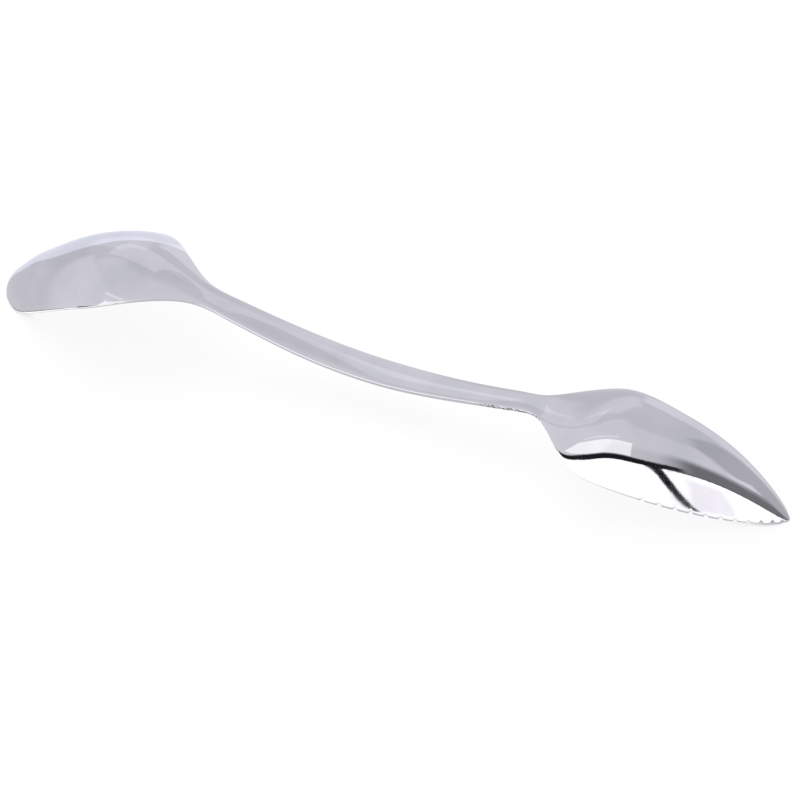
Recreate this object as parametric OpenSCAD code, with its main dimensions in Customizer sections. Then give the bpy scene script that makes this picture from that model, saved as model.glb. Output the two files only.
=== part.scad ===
// Double-ended fruit scoop pressed from one strip of stainless steel: a plain oval scoop,
// a slim bowed handle and a deep pointed scoop with toothed edges. It lies as it rests on
// a table, hollow sides down, with the round lip and the pointed tip on the table.

/* [Whole tool] */
// Thickness of the pressed sheet
sheet_t = 1.2; // [0.8:0.1:1.5]

/* [Round scoop] */
// Greatest width of the round scoop
round_w = 23; // [19:0.5:27]
// Height of the round dome above its rim
round_d = 8.75; // [7:0.25:10.5]
// Length from the round tip to the end of its neck
round_l = 62; // [57:1:65]
// Length from the round tip to where its sides start to close in
round_body = 28.5; // [25:0.5:33]
// Length over which the sides of the round scoop spread from the tip
round_spread = 70; // [58:1:82]
// Length of the rounded nose of the round dome
round_nose = 14.5; // [11:0.5:19]
// Thickness of the round lip
lip_t = 0.8; // [0.6:0.1:1.1]
// Length of the level lip that rests on the table
lip_flat = 6.5; // [5:0.5:9]
// Rise of the round rim away from the lip, in degrees
round_rise = 30; // [25:0.5:34]
// Fall of the handle behind the round neck, in degrees
round_fall = 27.5; // [22:0.5:32]
// Distance of the neck bend from the round tip
round_bend = 39; // [36:0.5:43]

/* [Handle] */
// Length of the handle between the two necks
handle_l = 55; // [48:1:70]
// Width of the handle at its middle
handle_w = 6.2; // [5:0.1:8]
// Width of the handle at the round neck
round_neck_w = 5; // [4:0.1:7]
// Width of the handle at the pointed neck
point_neck_w = 4.8; // [4:0.1:7]
// Height of the crown across the handle
crown_h = 0.5; // [0.2:0.1:1]
// Distance of the lowest place of the bow from the round neck
bow_l = 20.5; // [17:0.5:24]
// Softness of the long bow of the handle
bow_r = 36; // [25:1:45]
// Rise of the handle toward the pointed neck, in degrees
point_rise = 16.5; // [12:0.5:20]

/* [Pointed scoop] */
// Greatest width of the pointed scoop
point_w = 21; // [17:0.5:25]
// Height of the pointed dome above its rim
point_d = 10; // [8:0.5:12]
// Length from the pointed tip to the end of its neck
point_l = 53; // [49:1:57]
// Length from the pointed tip to where its sides start to close in
point_body = 30; // [27:1:33]
// Length over which the sides of the pointed scoop spread from the tip
point_spread = 49; // [42:1:58]
// Length of the beak of the pointed dome
point_nose = 21; // [17:1:26]
// Thickness of the toothed edge
edge_t = 0.6; // [0.4:0.1:0.9]
// Slope of the step down at the pointed neck, in degrees
point_step = 44.5; // [38:0.5:50]
// Slope of the toothed rim, in degrees
point_fall = 10; // [7:0.5:13]
// Distance of the neck bend from the pointed tip
point_bend = 41; // [38:0.5:44]
// Length of the step down at the pointed neck
step_l = 4; // [3:0.5:6]

/* [Teeth] */
// Number of notches along each side of the pointed scoop
notch_n = 11; // [8:1:13]
// Length of the toothed edge, measured along the tool from the tip
notch_reach = 22; // [18:1:25]
// Depth of a notch
notch_d = 0.7; // [0.4:0.1:0.9]
// Width of a notch along the edge
notch_w = 0.9; // [0.6:0.1:1.2]

/* [Hidden] */

// Length from the round tip to the pointed tip
tool_l = round_l + handle_l + point_l;
// Half of the tool, since the middle of its length is at x = 0
half_l = tool_l / 2;
// Angle of the edges from the crown
edge_f = 90;
// Cells from the crown to one edge
cells = 11;
// Sections along the round tip, the round body, the handle and the pointed neck
tip_cuts = 12;
body_cuts = 26;
strip_cuts = 24;
neck_cuts = 18;
// Length from each tip to its seam with the handle, a little before the neck ends
seam_in = 3;
round_seam = round_l - seam_in;
point_seam = point_l - seam_in;
// How far before its end each neck has come down to the handle's width
round_neck_in = 17;
point_neck_in = 3;
// Length over which each bowl's section turns into the handle's
round_blend = 25;
point_blend = 22;
point_blend_out = 10;
// Length of the round tip that has closely spaced sections
tip_l = 12;
// Softness of the bends at the lip and at the two necks
lip_soft = 2.5;
round_soft = 11;
point_soft = 6;
// Length of the pointed tip over which the sheet thins to nothing
nib = 1.5;
// Crowding of the notches toward the pointed tip
crowd = 1.4;
// Roundness of the sides and of the dome nose, round scoop
round_side_g = 0.6;
round_dome_g = 0.75;
// Roundness of the sides and of the dome nose, pointed scoop
point_side_g = 0.7;
point_dome_g = 1;
// How far each dome closes in before its sides do, and how far before the neck ends it is flat
round_dome_lead = 11;
point_dome_lead = 6;
round_dome_in = 1;
point_dome_in = 4;
// Bends of the rim line: place, softness, slope before, slope after
bends = [
    [lip_flat - half_l, lip_soft, 0, tan(round_rise)],
    [round_bend - half_l, round_soft, tan(round_rise), -tan(round_fall)],
    [round_l + bow_l - half_l, bow_r, -tan(round_fall), tan(point_rise)],
    [half_l - point_bend, point_soft, tan(point_rise), -tan(point_step)],
    [half_l - point_bend + step_l, point_soft, -tan(point_step), -tan(point_fall)]
];

// Curves that the outline, the domes and the rim line are made of
function ease(t) =
    let (u = max(0, min(1, t)))
    u * u * u * (u * (6 * u - 15) + 10);
function corner(u, r) = (u + sqrt(u * u + r * r)) / 2;
function fade(d, a, b) = 1 - ease((d - a) / (b - a));
function nose(d, l, g) = pow(1 - pow(max(0, min(1, (l - d) / l)), 2.5), g);
function swell(d, l, g, a, b) = nose(d, l, g) * fade(d, a, b);
function top(l, g, a, b) = max([for (d = [0:0.25:b]) swell(d, l, g, a, b)]);

// Ends of the two domes, and the largest values of the four swelling curves
round_dome = [round_body - round_dome_lead, round_l - round_dome_in];
point_dome = [point_body - point_dome_lead, point_l - point_dome_in];
round_w_top = top(round_spread, round_side_g, round_body, round_l);
round_d_top = top(round_nose, round_dome_g, round_dome[0], round_dome[1]);
point_w_top = top(point_spread, point_side_g, point_body, point_l);
point_d_top = top(point_nose, point_dome_g, point_dome[0], point_dome[1]);

// Distance of a place along the tool from the nearer tip
function reach(x) = half_l - abs(x);

// Half width of the handle strip
function strip(x) =
    (handle_w
    + (round_neck_w - handle_w) * ease(-x / (half_l - round_l + round_neck_in))
    + (point_neck_w - handle_w) * ease(x / (half_l - point_l + point_neck_in))) / 2;

// Half width of the tool
function half(x) =
    let (d = reach(x))
    x < 0
    ? norm([
        round_w / 2 * swell(d, round_spread, round_side_g, round_body, round_l) / round_w_top,
        strip(x) * (1 - fade(d, round_body, round_l))])
    : norm([
        point_w / 2 * swell(d, point_spread, point_side_g, point_body, point_l) / point_w_top,
        strip(x) * (1 - fade(d, point_body, point_l))]);

// Height of the crown above the rim
function crown(x) =
    let (d = reach(x))
    x < 0
    ? norm([
        round_d * swell(d, round_nose, round_dome_g, round_dome[0], round_dome[1]) / round_d_top,
        crown_h * (1 - fade(d, round_dome[0], round_dome[1]))])
    : norm([
        point_d * swell(d, point_nose, point_dome_g, point_dome[0], point_dome[1]) / point_d_top,
        crown_h * (1 - fade(d, point_dome[0], point_dome[1]))]);

// Height of the rim line, drawn so that both tips come out level
function bent(x, b) = (b[3] - b[2]) * (corner(x - b[0], b[1]) - corner(-half_l - b[0], b[1]));
function line(x) = [for (b = bends) 1] * [for (b = bends) bent(x, b)];
function rim(x) = line(x) - line(half_l) * (x + half_l) / tool_l;

// Share of scoop shape, none on the handle and all of it on a bowl
function bowl(x) =
    x < 0
    ? ease((round_dome[1] - reach(x)) / round_blend)
    : ease((point_l + point_blend_out - reach(x)) / point_blend);

// Point of the outer face at angle f from the crown
function skin(x, f) =
    let (b = x < 0 ? 0 : bowl(x), n = 2 + 0.5 * b, m = 1 + 0.2 * b)
    [x,
    half(x) * sign(f) * pow(abs(sin(f)), 2 / n),
    rim(x) + crown(x) * pow(max(0, cos(f)), 2 / m)];

// Direction straight out of the outer face
function outward(x, f) =
    let (
        u = skin(x + 0.02, f) - skin(x - 0.02, f),
        v = skin(x, min(edge_f, f + 1.5)) - skin(x, max(-edge_f, f - 1.5)),
        n = cross(u, v))
    n / norm(n);

// Thickness of the sheet, thinner toward the edges and tips of the bowls
function sheet(x, f) =
    let (
        thin = 1 - (1 - pow(f / edge_f, 2)) * ease(reach(x) / tip_l),
        edge = x < 0 ? lip_t : edge_t,
        t = sheet_t + (edge - sheet_t) * bowl(x) * thin)
    x < 0 ? t : t * min(1, sqrt(reach(x) / nib));
function lining(x, f) = skin(x, f) - sheet(x, f) * outward(x, f);

// Angle at which the edge lies when a notch of depth c is cut into it
function edge_angle(x, c) =
    let (n = min(c, 0.3 * crown(x)))
    acos(pow(n / crown(x), (1 + 0.2 * bowl(x)) / 2));

// Angles from edge to edge of one section, with the edges raised by a notch of depth c
function angles(x, c) =
    let (
        toothed = x < 0 ? 0 : fade(reach(x), notch_reach + 2, point_seam - 8),
        last = toothed > 0 ? edge_angle(x, notch_d) - 6 : 0,
        side = [for (j = [1:cells - 1])
            edge_f * j / cells * (1 - toothed) + last * j / (cells - 1) * toothed],
        end = c > 0 ? edge_angle(x, c) : edge_f,
        right = concat(side, [end]))
    concat([for (j = [cells - 1:-1:0]) -right[j]], [0], right);

// Places of the notches and half of their length along the tool
function notch(k) = notch_reach * pow(k / notch_n, crowd);
function slant(d) = norm([1, (half(half_l - d - 0.05) - half(half_l - d + 0.05)) / 0.1]);
function reach_of(k) = min(notch_w / 2 / slant(notch(k)), 0.4 * (notch(k) - notch(k - 1)));

// Sections from a tip or seam onward: place along the tool and notch depth
round_cuts = concat(
    [for (i = [1:tip_cuts]) [tip_l * pow(i / tip_cuts, 1.8) - half_l, 0]],
    [for (i = [1:body_cuts]) [tip_l + (round_seam - tip_l) * i / body_cuts - half_l, 0]]);
handle_cuts = [for (i = [0:strip_cuts]) [
    round_seam - half_l + (tool_l - round_seam - point_seam) * i / strip_cuts, 0]];
last_notch = notch(notch_n) + reach_of(notch_n);
point_cuts = concat(
    [[half_l - (notch(1) - reach_of(1)) / 2, 0]],
    [for (k = [1:notch_n], i = [-1:1])
        [half_l - notch(k) - i * reach_of(k), i == 0 ? notch_d : 0]],
    [for (i = [1:neck_cuts]) [half_l - last_notch - (point_seam - last_notch) * i / neck_cuts, 0]]);

// Points of the outer face, then of the lining, section by section
function outer(cuts) = [for (s = cuts, f = angles(s[0], s[1])) skin(s[0], f)];
function inner(cuts) = [for (s = cuts, f = angles(s[0], s[1])) lining(s[0], f)];
round_tip = [[-half_l, 0, 0], [lip_t - half_l, 0, 0]];
point_tip = [[half_l, 0, 0]];
round_points = concat(outer(round_cuts), inner(round_cuts), round_tip);
handle_points = concat(outer(handle_cuts), inner(handle_cuts));
point_points = concat(outer(point_cuts), inner(point_cuts), point_tip);

// Lowest point of the tool, which is set on the table
floor_z = min([for (p = concat(round_points, point_points)) p[2]]);

// Triangles of a sheet with n sections whose points run on from edge to edge
cols = 2 * cells + 1;
function pair(a, b, c, d) = [[a, b, c], [a, c, d]];
function sides(n) =
    let (w = n * cols, e = cols - 1)
    [for (k = [0:n - 2], c = [0:e])
        let (
            p = k * cols + c,
            q = p + cols,
            faces = c < e
            ? concat(pair(p, p + 1, q + 1, q), pair(w + p, w + q, w + q + 1, w + p + 1))
            : concat(pair(p - e, q - e, w + q - e, w + p - e), pair(p, w + p, w + q, q)))
        each faces];
function end_cap(n) =
    let (w = n * cols, s = w - cols)
    [for (c = [0:cols - 2]) each pair(s + c, s + c + 1, w + s + c + 1, w + s + c)];
function start_cap(n) =
    let (w = n * cols)
    [for (c = [0:cols - 2]) each pair(c, w + c, w + c + 1, c + 1)];
function fan(n, p, q) =
    let (w = n * cols, e = cols - 1)
    concat(
        [for (c = [0:e - 1]) [c + 1, c, p]],
        [for (c = [0:e - 1]) [w + c, w + c + 1, q]],
        [[0, w, p], [w + e, e, p]],
        p == q ? [] : [[w, q, p], [w + e, p, q]]);
function turned(faces) = [for (t = faces) [t[2], t[1], t[0]]];

module pressing(points, faces) {
    translate([0, 0, -floor_z])
        polyhedron(points, faces, convexity = 6);
}

module round_scoop() {
    n = len(round_cuts);
    p = 2 * n * cols;
    color("silver")
        pressing(round_points, concat(sides(n), end_cap(n), fan(n, p, p + 1)));
}

module handle() {
    n = len(handle_cuts);
    color("lightgray")
        pressing(handle_points, concat(sides(n), start_cap(n), end_cap(n)));
}

module serrated_scoop() {
    n = len(point_cuts);
    p = 2 * n * cols;
    color("silver")
        pressing(point_points, turned(concat(sides(n), end_cap(n), fan(n, p, p))));
}

round_scoop();
handle();
serrated_scoop();
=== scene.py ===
import math

import bpy
import numpy as np
from mathutils import Matrix, Vector


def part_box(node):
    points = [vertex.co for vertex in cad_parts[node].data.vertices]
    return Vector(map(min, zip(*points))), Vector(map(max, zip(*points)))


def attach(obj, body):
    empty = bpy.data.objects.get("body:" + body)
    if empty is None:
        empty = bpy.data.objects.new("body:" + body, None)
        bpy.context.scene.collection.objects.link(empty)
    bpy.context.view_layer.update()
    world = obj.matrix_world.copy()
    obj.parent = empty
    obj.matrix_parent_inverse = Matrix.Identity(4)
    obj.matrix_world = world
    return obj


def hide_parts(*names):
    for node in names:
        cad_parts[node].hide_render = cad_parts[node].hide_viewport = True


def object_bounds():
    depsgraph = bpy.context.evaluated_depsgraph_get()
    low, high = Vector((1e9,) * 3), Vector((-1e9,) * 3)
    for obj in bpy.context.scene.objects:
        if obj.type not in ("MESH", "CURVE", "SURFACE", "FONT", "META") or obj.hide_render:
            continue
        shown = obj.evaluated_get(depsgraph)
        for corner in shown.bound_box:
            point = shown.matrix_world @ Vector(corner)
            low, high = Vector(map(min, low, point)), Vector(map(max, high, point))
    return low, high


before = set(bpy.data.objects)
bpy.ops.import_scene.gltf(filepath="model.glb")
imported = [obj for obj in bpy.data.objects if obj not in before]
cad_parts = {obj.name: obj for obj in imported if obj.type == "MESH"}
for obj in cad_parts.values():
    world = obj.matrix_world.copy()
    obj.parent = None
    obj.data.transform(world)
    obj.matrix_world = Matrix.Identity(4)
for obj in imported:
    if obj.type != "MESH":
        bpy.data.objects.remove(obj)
cadLow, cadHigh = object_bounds()
mm = 0.001  # the pressing is worked out in millimetres
halfLength = (cadHigh.x - cadLow.x) / mm / 2
edgeTurn = math.pi / 2  # angle from the crown to an edge
print("frame loaded")


def nodeSize(node):  # length, width and height of a CAD node in millimetres
    low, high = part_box(node)
    return [(b - a) / mm for a, b in zip(low, high)]


# round bowl, lengths from its tip, slopes in degrees
roundBowl = {
    "width": nodeSize("round_scoop")[1],
    "dome": 8.75,  # height of the dome above its rim
    "length": 62,  # to the end of the neck
    "body": 28.5,  # to where the sides close in
    "spread": 70,  # length of the curve of the sides
    "nose": 14.5,  # length of the nose of the dome
    "sideCurve": 0.6,  # less makes the sides blunter at the tip
    "domeCurve": 0.75,  # less makes the dome blunter at the tip
    "domeLead": 11,  # how far the dome closes in before the sides
    "domeEnd": 61,  # to where the dome has run out
    "neckIn": 17,  # how far before its end the neck is down to the handle's width
    "blendEnd": 61,  # to where the section is the handle's
    "blend": 25,  # length over which it turns into the handle's
    "fullness": 0,  # extra fullness of the sides
    "steepness": 0,  # extra steepness of the edges
    "edge": 0.8,  # thickness of the lip
    "lipFlat": 6.5,  # length of the level lip
    "lipSoft": 2.5,  # softness of the bend behind it
    "rise": 30,  # slope of the rim away from the lip
    "fall": 27.5,  # slope of the handle behind the neck
    "bend": 39,  # to the bend at the neck
    "soft": 11,  # softness of that bend
    "seam": nodeSize("round_scoop")[0],
}

# pointed bowl, lengths from its tip, slopes in degrees
pointedBowl = {
    "width": nodeSize("serrated_scoop")[1],
    "dome": 10,
    "length": 53,
    "body": 30,
    "spread": 49,
    "nose": 21,
    "sideCurve": 0.7,
    "domeCurve": 1,
    "domeLead": 6,
    "domeEnd": 49,
    "neckIn": 3,
    "blendEnd": 63,
    "blend": 22,
    "fullness": 0.5,
    "steepness": 0.2,
    "edge": 0.6,  # thickness of the toothed edge
    "rise": 16.5,  # slope of the handle toward the neck
    "step": 44.5,  # slope of the step down at the neck
    "stepLength": 4,
    "fall": 10,  # slope of the toothed rim
    "bend": 41,
    "soft": 6,
    "nib": 1.5,  # length of the tip that thins to nothing
    "seam": nodeSize("serrated_scoop")[0],
}

# notches along each edge of the pointed bowl
teeth = {
    "count": 11,
    "reach": 22,  # from the tip to the last notch
    "depth": 0.7,
    "width": 0.9,
    "crowd": 1.4,  # more crowds the notches toward the tip
    "gapShare": 0.4,  # half a notch takes at most this share of the gap before it
    "deepest": 0.3,  # and cuts at most this share of the bowl's height
}

# handle, and the sheet that all is pressed from
strip = {
    "width": nodeSize("handle")[1],
    "roundNeck": 5,  # width at the round bowl
    "pointedNeck": 4.8,
    "crown": 0.5,  # height of the crown across the handle
    "sheet": 1.2,
    "bowAt": 20.5,  # from the round neck to the lowest place of the bow
    "bow": 36,  # softness of the bow
    "tipBend": 2.5,  # how strongly the bowls curve in toward their tips
    "tipThin": 12,  # length over which the sheet thickens from a tip
}

# fineness of the meshes
detail = {
    "rows": 24,  # cells from the crown to an edge
    "fine": 240,  # points that their even spacing is worked out from
    "rimCells": 8,  # cells around a cut edge
    "edgeRound": 0.22,  # radius of a cut edge
    "edgeShare": 0.3,  # and its greatest share of a narrow sheet
    "rimSquare": 2.6,  # 2 rounds a cut edge off, more leaves it squarer
    "wearReach": 0.7,  # how far the wear runs in from an edge
    "crease": 38,  # folds sharper than this many degrees stay sharp
    "peakStep": 0.25,  # spacing of the search for a bowl's greatest size
    "crownPoints": 2000,  # points of the search for the highest place
    "slopeStep": 0.01,  # lengths and degrees over which slopes are taken
    "slopeTurn": 1.5,
    "notchStep": 0.05,
    "bowlStep": 0.45,  # spacing of the outlines along the tool
    "handleStep": 0.5,
    "toothStep": 0.4,
    "notchRows": 11,  # outlines across a notch
    "tipRows": 6,  # outlines before the first notch, and how they crowd
    "tipCrowd": 1.5,
    "lipReach": 3,  # closely spaced outlines at the round lip
    "lipRows": 26,
    "lipFirst": 2,
}


def ease(t):  # smooth change from 0 to 1
    t = np.clip(t, 0, 1)
    return t ** 3 * (t * (6 * t - 15) + 10)


def corner(u, r):  # 0 before a bend and u after it, softened over r
    return (u + np.sqrt(u * u + r * r)) / 2


def fade(d, a, b):  # 1 up to a, 0 from b on
    return 1 - ease((d - a) / (b - a))


def swell(d, length, curve, start, end):  # rises from the tip to 1 and fades out again
    def shape(s):
        rise = 1 - np.clip((length - s) / length, 0, 1) ** strip["tipBend"]
        return rise ** curve * fade(s, start, end)
    return shape(d) / shape(np.arange(0, end, detail["peakStep"])).max()


def fromTip(x):
    return halfLength - np.abs(x)


def stripHalf(x):
    toRound = ease(-x / (halfLength - roundBowl["length"] + roundBowl["neckIn"]))
    toPoint = ease(x / (halfLength - pointedBowl["length"] + pointedBowl["neckIn"]))
    middle = strip["width"]
    roundMore, pointMore = strip["roundNeck"] - middle, strip["pointedNeck"] - middle
    return (middle + roundMore * toRound + pointMore * toPoint) / 2


def bowlHalf(bowl, x):
    d = fromTip(x)
    start, end = bowl["body"], bowl["length"]
    side = bowl["width"] / 2 * swell(d, bowl["spread"], bowl["sideCurve"], start, end)
    return np.hypot(side, stripHalf(x) * (1 - fade(d, start, end)))


def bowlCrown(bowl, x):
    d = fromTip(x)
    start, end = bowl["body"] - bowl["domeLead"], bowl["domeEnd"]
    dome = bowl["dome"] * swell(d, bowl["nose"], bowl["domeCurve"], start, end)
    return np.hypot(dome, strip["crown"] * (1 - fade(d, start, end)))


def bowlShare(bowl, x):  # 0 on the handle, 1 on a bowl
    return ease((bowl["blendEnd"] - fromTip(x)) / bowl["blend"])


def both(rule, x):  # the round bowl left of the middle, the pointed bowl right of it
    return np.where(x < 0, rule(roundBowl, x), rule(pointedBowl, x))


def rimHeight(x):
    degrees = [
        0, roundBowl["rise"], -roundBowl["fall"],
        pointedBowl["rise"], -pointedBowl["step"], -pointedBowl["fall"]]
    slopes = [math.tan(math.radians(a)) for a in degrees]
    stepAt = halfLength - pointedBowl["bend"]
    places = [  # where each slope gives way to the next, and how softly
        (roundBowl["lipFlat"] - halfLength, roundBowl["lipSoft"]),
        (roundBowl["bend"] - halfLength, roundBowl["soft"]),
        (roundBowl["length"] + strip["bowAt"] - halfLength, strip["bow"]),
        (stepAt, pointedBowl["soft"]),
        (stepAt + pointedBowl["stepLength"], pointedBowl["soft"]),
    ]

    def line(s):
        total = 0
        for (at, soft), before, after in zip(places, slopes, slopes[1:]):
            bend = corner(s - at, soft) - corner(-halfLength - at, soft)
            total = total + (after - before) * bend
        return total
    return line(x) - line(halfLength) * (x + halfLength) / (2 * halfLength)


def skin(x, f):  # outer face at angle f from the crown
    share = both(bowlShare, x)
    fullness = 2 + share * np.where(x < 0, roundBowl["fullness"], pointedBowl["fullness"])
    steepness = 1 + share * np.where(x < 0, roundBowl["steepness"], pointedBowl["steepness"])
    y = both(bowlHalf, x) * np.sign(f) * np.abs(np.sin(f)) ** (2 / fullness)
    z = rimHeight(x) + both(bowlCrown, x) * np.maximum(np.cos(f), 0) ** (2 / steepness)
    return np.stack(np.broadcast_arrays(x, y, z), -1)


def outward(x, f):
    step, turn = detail["slopeStep"], math.radians(detail["slopeTurn"])
    along = skin(x + step, f) - skin(x - step, f)
    across = skin(x, np.minimum(edgeTurn, f + turn)) - skin(x, np.maximum(-edgeTurn, f - turn))
    normal = np.cross(along, across)
    return normal / np.linalg.norm(normal, axis=-1, keepdims=True)


def sheetAt(x, f):  # the sheet is thinner toward the edges and tips of the bowls
    d = fromTip(x)
    thin = 1 - (1 - (f / edgeTurn) ** 2) * ease(d / strip["tipThin"])
    edge = np.where(x < 0, roundBowl["edge"], pointedBowl["edge"])
    sheet = strip["sheet"] + (edge - strip["sheet"]) * both(bowlShare, x) * thin
    return np.where(x < 0, sheet, sheet * np.minimum(1, np.sqrt(d / pointedBowl["nib"])))


def notchAt(k):
    return teeth["reach"] * (k / teeth["count"]) ** teeth["crowd"]


def notchHalf(k):  # half of a notch's length along the tool
    x, step = halfLength - notchAt(k), detail["notchStep"]
    slope = (bowlHalf(pointedBowl, x - step) - bowlHalf(pointedBowl, x + step)) / (2 * step)
    most = teeth["gapShare"] * (notchAt(k) - notchAt(k - 1))
    return min(teeth["width"] / 2 / math.hypot(1, slope), most)


def edgeAngle(x, cut):  # where the edge lies once a notch of that depth is cut into it
    share = np.minimum(cut / both(bowlCrown, x), teeth["deepest"])
    return np.arccos(share ** ((1 + pointedBowl["steepness"] * both(bowlShare, x)) / 2))


# the rim is lifted until the round bowl is as high as its CAD node
crownLine = np.linspace(-halfLength, 0, detail["crownPoints"])
crownTop = (rimHeight(crownLine) + bowlCrown(roundBowl, crownLine)).max()
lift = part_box("round_scoop")[1].z / mm - crownTop


# angles evenly spaced over the sheet from the crown, and how far each is from the edge
def evenAngles(x, end):
    fine = end[:, None] * np.linspace(0, 1, detail["fine"])
    steps = np.linalg.norm(np.diff(skin(x[:, None], fine), axis=1), axis=2)
    run = np.concatenate([np.zeros((len(x), 1)), np.cumsum(steps, axis=1)], axis=1)
    whole = run[:, -1]
    stop = whole - np.minimum(detail["edgeRound"], detail["edgeShare"] * whole)
    share = np.linspace(0, 1, detail["rows"] + 1)
    angles = np.array([np.interp(s * share, r, f) for s, r, f in zip(stop, run, fine)])
    return angles, whole[:, None] - stop[:, None] * share


# closed outlines of the sheet across the tool, and the wear and cut edges along them
def rings(x, cut):
    end = edgeAngle(x, cut)
    angles, toEdge = evenAngles(x, end)
    outer = skin(x[:, None], angles)
    inner = outer - sheetAt(x[:, None], angles)[..., None] * outward(x[:, None], angles)
    middle = (outer[:, -1] + inner[:, -1]) / 2
    across = (outer[:, -1] - inner[:, -1]) / 2
    out = skin(x, end) - outer[:, -1]
    power = 2 / detail["rimSquare"]
    rim = []
    for t in np.linspace(0, math.pi, detail["rimCells"] + 1)[1:-1]:
        c, s = math.cos(t), math.sin(t)
        rim.append(middle + across * math.copysign(abs(c) ** power, c) + out * s ** power)
    rim = np.stack(rim, 1)
    flip = np.array([1, -1, 1])
    near = np.concatenate([outer[:, :0:-1] * flip, outer], 1)
    lining = np.concatenate([inner[:, ::-1], inner[:, 1:] * flip], 1)
    loops = np.concatenate([near, rim, lining, rim[:, ::-1] * flip], 1)
    wear = np.exp(-toEdge / detail["wearReach"])
    bare = np.ones(rim.shape[:2])
    worn = np.concatenate([wear[:, :0:-1], wear, bare, wear[:, ::-1], wear[:, 1:], bare], 1)
    plain = np.zeros((len(x), near.shape[1]))
    cutFace = np.concatenate([plain, bare, plain, bare], 1)
    return loops, {"rimWear": worn, "cutFace": cutFace}


def stepsBetween(a, b, size):
    return list(np.linspace(a, b, max(2, int(round(abs(b - a) / size)) + 1)))


def seamCap(first, rows, rim, turned):  # closes one end of the sheet with flat cells
    top = 2 * rows + 1
    under = [first + top + rim + 2 * rows - j for j in range(top)]
    cells = [(first + j, first + j + 1, under[j + 1], under[j]) for j in range(2 * rows)]
    cells.append([first + 2 * rows + k for k in range(rim + 2)])
    cells.append([first + 2 * top + rim + k - 1 for k in range(rim + 1)] + [first])
    return [list(c)[::-1] if turned else list(c) for c in cells]


def placed(name, data):  # a new object in the scene
    thing = bpy.data.objects.new(name, data)
    bpy.context.scene.collection.objects.link(thing)
    return thing


def pressing(name, node, x, cut, tip=None):
    x, cut = np.array(x, float), np.array(cut, float)
    loops, marked = rings(x, cut)
    count, width = loops.shape[:2]
    rows, rim = detail["rows"], detail["rimCells"] - 1
    points = loops.reshape(-1, 3)
    faces = []
    for i in range(count - 1):
        for k in range(width):
            a, b = i * width + k, i * width + (k + 1) % width
            faces.append((a, a + width, b + width, b))
    if tip == "sharp":  # the last outline runs out into one point
        pole = len(points)
        points = np.vstack([points, [halfLength, 0, 0]])
        last = (count - 1) * width
        faces += [(last + k, pole, last + (k + 1) % width) for k in range(width)]
    if tip == "blunt":  # the first outline closes on the thickness of the lip
        line = len(points)
        share = np.linspace(0, 1, rim + 2)[:, None]
        points = np.vstack([points, [-halfLength, 0, 0] + share * [roundBowl["edge"], 0, 0]])
        top = 2 * rows + 1
        faces += [(k, k + 1, line) for k in range(top - 1)]
        faces += [(top + rim + k, top + rim + k + 1, line + rim + 1) for k in range(top - 1)]
        for k in range(rim + 1):
            faces.append((top - 1 + k, top + k, line + k + 1, line + k))
            a = 2 * top + rim + k - 1
            faces.append((a, (a + 1) % width, line + rim - k, line + rim + 1 - k))
    else:
        faces += seamCap(0, rows, rim, False)
    if tip != "sharp":
        faces += seamCap((count - 1) * width, rows, rim, True)
    mesh = bpy.data.meshes.new(name)
    mesh.from_pydata([tuple(p) for p in (points + [0, 0, lift]) * mm], [], faces)
    for mark, values in marked.items():  # the added tip points are bare edge
        values = np.concatenate([values.ravel(), np.ones(len(points) - values.size)])
        mesh.attributes.new(mark, "FLOAT", "POINT").data.foreach_set("value", values)
    mesh.shade_smooth()
    mesh.set_sharp_from_angle(angle=math.radians(detail["crease"]))
    piece = placed(name, mesh)
    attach(piece, "root")
    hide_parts(node)
    print(name, "pressed with", len(points), "points")
    return piece


def roundPiece():
    reach, rows = detail["lipReach"], detail["lipRows"]
    near = [reach * (i / rows) ** 2 for i in range(detail["lipFirst"], rows + 1)]
    d = np.array(near + stepsBetween(reach, roundBowl["seam"], detail["bowlStep"])[1:])
    return pressing("roundBowlSteel", "round_scoop", d - halfLength, d * 0, "blunt")


def handlePiece():
    start, stop = roundBowl["seam"] - halfLength, halfLength - pointedBowl["seam"]
    x = stepsBetween(start, stop, detail["handleStep"])
    return pressing("handleSteel", "handle", x, [0] * len(x))


def pointedPiece():
    rows, last = detail["tipRows"], notchAt(1) - notchHalf(1)
    d = [last * (s / rows) ** detail["tipCrowd"] for s in range(1, rows)]
    cut = [0] * len(d)
    for k in range(1, teeth["count"] + 1):
        at, half = notchAt(k), notchHalf(k)
        if k > 1:
            flat = stepsBetween(last, at - half, detail["toothStep"])[1:-1]
            d += flat
            cut += [0] * len(flat)
        for s in np.linspace(-1, 1, detail["notchRows"]):
            d.append(at + s * half)
            cut.append(teeth["depth"] * (1 - abs(s)))
        last = at + half
    rest = stepsBetween(last, pointedBowl["seam"], detail["bowlStep"])[1:]
    d += rest
    cut += [0] * len(rest)
    x = halfLength - np.array(d[::-1])
    return pressing("pointedBowlSteel", "serrated_scoop", x, cut[::-1], "sharp")


pieces = [roundPiece(), handlePiece(), pointedPiece()]


class Wire:  # a socket that takes part in Python sums
    def __init__(self, desk, socket):
        self.desk = desk
        self.socket = socket

    def __add__(self, other):
        return self.desk.sum("ADD", self, other)

    def __radd__(self, other):
        return self.desk.sum("ADD", other, self)

    def __sub__(self, other):
        return self.desk.sum("SUBTRACT", self, other)

    def __rsub__(self, other):
        return self.desk.sum("SUBTRACT", other, self)

    def __mul__(self, other):
        return self.desk.sum("MULTIPLY", self, other)

    def __rmul__(self, other):
        return self.desk.sum("MULTIPLY", other, self)


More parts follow.
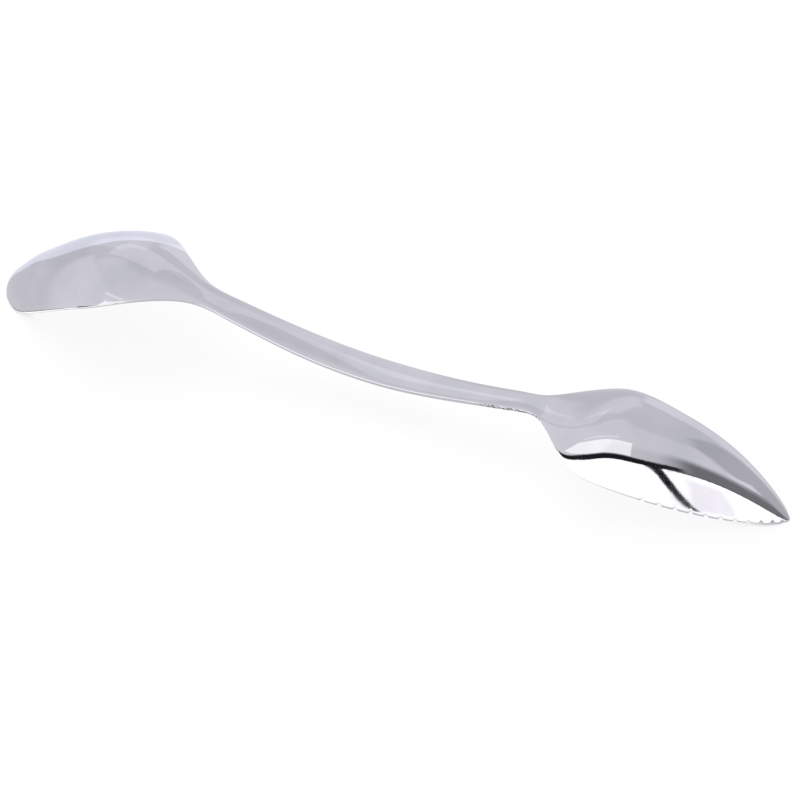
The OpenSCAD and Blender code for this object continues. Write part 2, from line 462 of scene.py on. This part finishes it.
class Desk:  # one node tree
    def __init__(self, tree):
        self.tree = tree
        tree.nodes.clear()

    def make(self, kind, settings, inputs, output=0):
        node = self.tree.nodes.new(kind)
        for key, value in settings.items():
            setattr(node, key, value)
        for key, value in inputs.items():
            if isinstance(value, Wire):
                self.tree.links.new(value.socket, node.inputs[key])
            else:
                node.inputs[key].default_value = value
        return Wire(self, node.outputs[output]) if len(node.outputs) else None

    def sum(self, operation, first, second=0.0):
        return self.make("ShaderNodeMath", {"operation": operation}, {0: first, 1: second})

    def along(self, vector, direction):  # how far a vector reaches in a direction
        return self.make(
            "ShaderNodeVectorMath", {"operation": "DOT_PRODUCT"},
            {0: vector, 1: direction}, "Value")

    def ramp(self, value, low, high):  # smooth change from 0 at low to 1 at high
        return self.make(
            "ShaderNodeMapRange", {"interpolation_type": "SMOOTHSTEP"},
            {"Value": value, "From Min": low, "From Max": high})

    def mix(self, factor, a, b):  # 6, 7 and 2 are the node's sockets for colours
        return self.make("ShaderNodeMix", {"data_type": "RGBA"}, {0: factor, 6: a, 7: b}, 2)


finish = {
    "bright": (0.83, 0.832, 0.85, 1),
    "dull": (0.76, 0.765, 0.79, 1),
    "dullAt": (0.35, 0.68),  # cloudiness from which to which it turns dull
    "gloss": (0.03, 0.07),  # roughness from the best polished to the dullest places
    "worn": (0.90, 0.90, 0.905, 1),
    "wornTint": 0.6,  # share of the worn colour at an edge
    "wornRough": 0.05,
    "scratchAt": (0.66, 0.74),
    "scratchRough": 0.05,
    "lineRough": 0.02,
    "lineMiddle": 0.5,  # noise value at which a line changes nothing
    "lineDepth": 0.0000006,  # in metres
    "waviness": 0.000006,  # height of the hand polish in metres
    "torn": (0.05, 0.05, 0.056, 1),
    "tornAt": (0.46, 0.56),
    "tornRough": 0.3,
    "tornFrom": (0.026, 0.031),  # the cut edge is torn near the pointed neck,
    "tornTo": (0.044, 0.05),  # between these places along the tool in metres
    "noiseRough": 0.55,
}

marks = {  # stretch of the noise along each axis, turn in radians, scale and detail
    "cloudy": ((1, 1, 1), 0, 95, 3),
    "lines": ((60, 2600, 2600), 0, 1, 2),
    "swirl": ((90, 2100, 2100), 0.5, 1, 1),
    "wavy": ((0.5, 1, 1), 0.2, 150, 1),
    "grains": ((0.6, 1, 1), 0, 2600, 2),
}


def polishedSteel():
    steel = bpy.data.materials.new("polishedSteel")
    steel.use_nodes = True
    desk = Desk(steel.node_tree)
    place = desk.make("ShaderNodeTexCoord", {}, {}, "Object")

    def noise(mark):
        stretch, turn, size, depth = marks[mark]
        laid = desk.make(
            "ShaderNodeMapping", {},
            {"Vector": place, "Rotation": (0, 0, turn), "Scale": stretch})
        return desk.make(
            "ShaderNodeTexNoise", {},
            {"Vector": laid, "Scale": size, "Detail": depth, "Roughness": finish["noiseRough"]},
            "Fac")

    def meshMark(mark):
        return desk.make("ShaderNodeAttribute", {"attribute_name": mark}, {}, "Fac")

    worn = meshMark("rimWear")
    lines = noise("lines")
    scratch = desk.ramp(noise("swirl"), *finish["scratchAt"])
    dullness = desk.ramp(noise("cloudy"), *finish["dullAt"])
    low, high = finish["gloss"]
    rough = dullness * (high - low) + low
    rough = rough + scratch * finish["scratchRough"] + worn * finish["wornRough"]
    rough = rough + (lines - finish["lineMiddle"]) * finish["lineRough"]
    colour = desk.mix(dullness, finish["bright"], finish["dull"])
    colour = desk.mix(worn * finish["wornTint"], colour, finish["worn"])

    # dark specks on the torn part of the cut edge
    along = desk.along(place, (1, 0, 0))
    torn = meshMark("cutFace") * desk.ramp(noise("grains"), *finish["tornAt"])
    torn = torn * desk.ramp(along, *finish["tornFrom"])
    torn = torn * desk.ramp(along, *finish["tornTo"][::-1])
    colour = desk.mix(torn, colour, finish["torn"])
    rough = rough + torn * finish["tornRough"]

    soft = desk.make(
        "ShaderNodeBump", {},
        {"Strength": 1.0, "Distance": finish["waviness"], "Height": noise("wavy")})
    fine = desk.make(
        "ShaderNodeBump", {},
        {"Strength": 1.0, "Distance": finish["lineDepth"], "Height": lines, "Normal": soft})
    shader = desk.make(
        "ShaderNodeBsdfPrincipled", {},
        {"Base Color": colour, "Metallic": 1.0, "Roughness": rough, "Normal": fine})
    desk.make("ShaderNodeOutputMaterial", {}, {"Surface": shader})
    return steel


steel = polishedSteel()
for piece in pieces:
    piece.data.materials.append(steel)
print("steel finished")

pureWhite = (1, 1, 1, 1)  # what the camera sees behind and under the tool

# the room that the steel mirrors, angles in degrees
room = {
    "tilt": 18.63,  # the room leans over the tool by this angle about its length
    "middle": -18,  # compass angles run half a turn either way from here: 0 front, -90 left
    "grey": (0.615, 0.608, 0.663, 1),
    "haze": (0.725, 0.717, 0.782, 1),
    "mild": (0.684, 0.677, 0.736, 1),
    "veil": (0.708, 0.701, 0.764, 1),
    "wall": (0.741, 0.733, 0.800, 1),
    "dim": (0.475, 0.470, 0.512, 1),
    "shade": (0.178, 0.176, 0.191, 1),
    "dark": (0.012, 0.012, 0.016, 1),
    "edge": (0.074, 0.073, 0.078, 1),
    "mist": (0.646, 0.639, 0.695, 1),
    "table": (1.28, 1.28, 1.28, 1),
    # painted shade: the table close under the tool is darkened as if in the tool's own shadow
    "under": (0.581, 0.575, 0.624, 1),  # the table close under the tool
    "blush": (1.100, 1.055, 1.121, 1),
}

zones = [  # tone, compass angles, heights above the table, and how soft the ends of both are
    ("dim", (72, 150), (10, 72), (14, 14)),
    ("mild", (-70, 48), (30, 66), (12, 14)),
    ("veil", (-150, -112), (30, 54), (10, 10)),
    ("wall", (-192, -162), (-30, 38), (6, 4)),
    ("haze", (-82, -20), (-16, 30), (6, 8)),
    ("shade", (18, 92), (0, 17), (20, 17)),
    ("wall", (58, 92), (31, 36), (8, 3)),
    ("mist", (-192, -90), (-90, -3), (10, 6)),
]

edges = [  # tone of the table's far edge, compass angles, their softness, heights it fades over
    ("dark", (-66, 8), 6, (8, 5.5)),
    ("edge", (8, 92), 6, (3, 0.5)),
    ("edge", (-125, -80), 12, (2, 1)),
]

table = {
    "from": (0.25, -0.25),  # heights over which the table begins
    "sides": (-100, 62),  # compass angles of its brightly lit front
    "sidesSoft": 22,
    "droop": 29,  # its far edge lies lower on the left by this angle
    "droops": (-30, -115),  # compass angles over which it comes down
    "near": (-42, -52),  # heights over which the shaded part close to the tool begins
    "blushSides": (12, 25),
    "blushHeights": (-33, -11),
    "blushSoft": (3, 6),
}

leg = {
    "across": (0.984, 0.026, 0.179),  # direction across the leg
    "half": 0.02,  # half of its width, as a share of its distance
    "soft": 0.008,
    "sides": (-30, 40),
    "heights": (-37, 0),
    "endsSoft": (5, 1.5),
}


def studioRoom():
    world = bpy.data.worlds.new("studioRoom")
    world.use_nodes = True
    bpy.context.scene.world = world
    desk = Desk(world.node_tree)
    direction = desk.make("ShaderNodeTexCoord", {}, {}, "Generated")
    leaned = desk.make(
        "ShaderNodeVectorRotate", {"rotation_type": "X_AXIS"},
        {"Vector": direction, "Angle": math.radians(room["tilt"])})

    def inside(value, ends, soft):  # 1 between two ends that fade out softly
        low, high = ends
        return desk.ramp(value, low - soft, low) * desk.ramp(value, high + soft, high)

    def patch(sides, heights, soft):
        return inside(side, sides, soft[0]) * inside(rise, heights, soft[1])

    turn = math.radians(room["middle"])
    c, s = math.cos(turn), math.sin(turn)
    compass = desk.sum("ARCTAN2", desk.along(leaned, (c, s, 0)), desk.along(leaned, (s, -c, 0)))
    side = desk.sum("DEGREES", compass) + room["middle"]
    rise = desk.sum("DEGREES", desk.sum("ARCSINE", desk.along(leaned, (0, 0, 1))))
    colour = room["grey"]
    for tone, sides, heights, soft in zones:
        colour = desk.mix(patch(sides, heights, soft), colour, room[tone])

    height = rise + desk.ramp(side, *table["droops"]) * table["droop"]
    for tone, sides, soft, heights in edges:
        line = inside(side, sides, soft) * desk.ramp(height, *heights)
        colour = desk.mix(line, colour, room[tone])
    top = desk.mix(inside(side, table["sides"], table["sidesSoft"]), room["mist"], room["table"])
    # painted shade of the tool on the table close under it
    top = desk.mix(desk.ramp(rise, *table["near"]), top, room["under"])
    blush = patch(table["blushSides"], table["blushHeights"], table["blushSoft"])
    top = desk.mix(blush, top, room["blush"])
    colour = desk.mix(desk.ramp(height, *table["from"]), colour, top)

    post = inside(desk.along(leaned, leg["across"]), (-leg["half"], leg["half"]), leg["soft"])
    post = post * patch(leg["sides"], leg["heights"], leg["endsSoft"])
    colour = desk.mix(post, colour, room["dark"])
    seen = desk.make("ShaderNodeLightPath", {}, {}, "Is Camera Ray")
    colour = desk.mix(seen, colour, pureWhite)
    back = desk.make("ShaderNodeBackground", {}, {"Color": colour, "Strength": 1.0})
    desk.make("ShaderNodeOutputWorld", {}, {"Surface": back})


floorLook = {
    "size": 1.6,  # in metres
    "white": (0.93, 0.93, 0.935, 1),
    "glow": 0.92,  # share of pure white where nothing is near
    "contact": 0.005,  # metres from which the tool takes that white away
    "covered": (0.3, 0.7),  # openness over which it comes back
}


def paleFloor():
    half = floorLook["size"] / 2
    corners = [(-half, -half, 0), (half, -half, 0), (half, half, 0), (-half, half, 0)]
    mesh = bpy.data.meshes.new("paleFloor")
    mesh.from_pydata(corners, [], [(0, 1, 2, 3)])
    sheet = placed("paleFloor", mesh)
    sheet.visible_glossy = False  # the steel sees the room's own pale table
    paint = bpy.data.materials.new("palePaper")
    paint.use_nodes = True
    desk = Desk(paint.node_tree)
    matt = desk.make("ShaderNodeBsdfDiffuse", {}, {"Color": floorLook["white"]})
    glow = desk.make("ShaderNodeEmission", {}, {"Color": pureWhite, "Strength": 1.0})
    seen = desk.make("ShaderNodeLightPath", {}, {}, "Is Camera Ray")
    openness = desk.make(
        "ShaderNodeAmbientOcclusion", {}, {"Distance": floorLook["contact"]}, "AO")
    lit = seen * desk.ramp(openness, *floorLook["covered"]) * floorLook["glow"]
    paper = desk.make("ShaderNodeMixShader", {}, {0: lit, 1: matt, 2: glow})
    clear = desk.make("ShaderNodeBsdfTransparent", {}, {})
    under = desk.make("ShaderNodeNewGeometry", {}, {}, "Backfacing")  # clear from below
    oneSided = desk.make("ShaderNodeMixShader", {}, {0: under, 1: paper, 2: clear})
    desk.make("ShaderNodeOutputMaterial", {}, {"Surface": oneSided})
    mesh.materials.append(paint)


softboxes = [  # places and sizes in millimetres, glow as the steel shows it
    {"name": "overhead", "shape": "SQUARE", "place": (-250, 200, 700), "faces": (250, -200, -700),
     "size": (600, 600), "glow": 3.5, "tint": (1, 1, 1), "mirrored": False},
    {"name": "behind", "shape": "ELLIPSE", "place": (-250, 80, 0), "faces": (0, -1, 0),
     "size": (380, 200), "glow": 0.26, "tint": (0.76, 0.82, 1), "mirrored": True},
    {"name": "above", "shape": "RECTANGLE", "place": (-68, 44, 80), "faces": (0, 0, -1),
     "size": (64, 60), "glow": 0.1, "tint": (0.95, 0.95, 1), "mirrored": True},
    {"name": "front", "shape": "RECTANGLE", "place": (-31, -100, 88), "faces": (0, 1, 0),
     "size": (178, 60), "glow": 0.36, "tint": (1, 0.99, 0.93), "mirrored": True},
    {"name": "frontStrip", "shape": "RECTANGLE", "place": (-52, -100, 146), "faces": (0, 1, 0),
     "size": (156, 10), "glow": 0.16, "tint": (1, 1, 1), "mirrored": True},
]


def softLights():
    for box in softboxes:
        lamp = bpy.data.lights.new(box["name"], "AREA")
        lamp.shape = box["shape"]
        lamp.size, lamp.size_y = (d * mm for d in box["size"])
        area = lamp.size * lamp.size_y * (math.pi / 4 if lamp.shape == "ELLIPSE" else 1)
        lamp.energy = box["glow"] * math.pi * area
        lamp.color = box["tint"]
        holder = placed(box["name"], lamp)
        holder.location = Vector(box["place"]) * mm
        holder.rotation_euler = Vector(box["faces"]).to_track_quat("-Z", "Y").to_euler()
        holder.visible_glossy = box["mirrored"]
        holder.visible_diffuse = not box["mirrored"]
        holder.visible_camera = False


view = {  # angles in degrees, lengths in millimetres
    "azimuth": 41.45,
    "elevation": 40.82,
    "roll": 13.6,
    "distance": 480,
    "lens": 119.64,
    "nearest": 10,  # the camera draws nothing closer
    "aim": (5.65, 2.69, -1.67),
}


def photoCamera():
    a, e, r = (math.radians(view[k]) for k in ("azimuth", "elevation", "roll"))
    back = Vector((math.sin(a) * math.cos(e), -math.cos(a) * math.cos(e), math.sin(e)))
    level = Vector((0, 0, 1)).cross(back).normalized()
    up = back.cross(level) * math.cos(r) + level * math.sin(r)
    turn = Matrix((up.cross(back), up, back)).transposed()
    lens = bpy.data.cameras.new("photoCamera")
    lens.lens = view["lens"]
    lens.clip_start = view["nearest"] * mm
    camera = placed("photoCamera", lens)
    eye = (Vector(view["aim"]) + back * view["distance"]) * mm
    camera.matrix_world = Matrix.Translation(eye) @ turn.to_4x4()
    bpy.context.scene.camera = camera


studioRoom()
paleFloor()
softLights()
photoCamera()
bpy.context.scene.view_settings.view_transform = "Standard"
print("studio set")
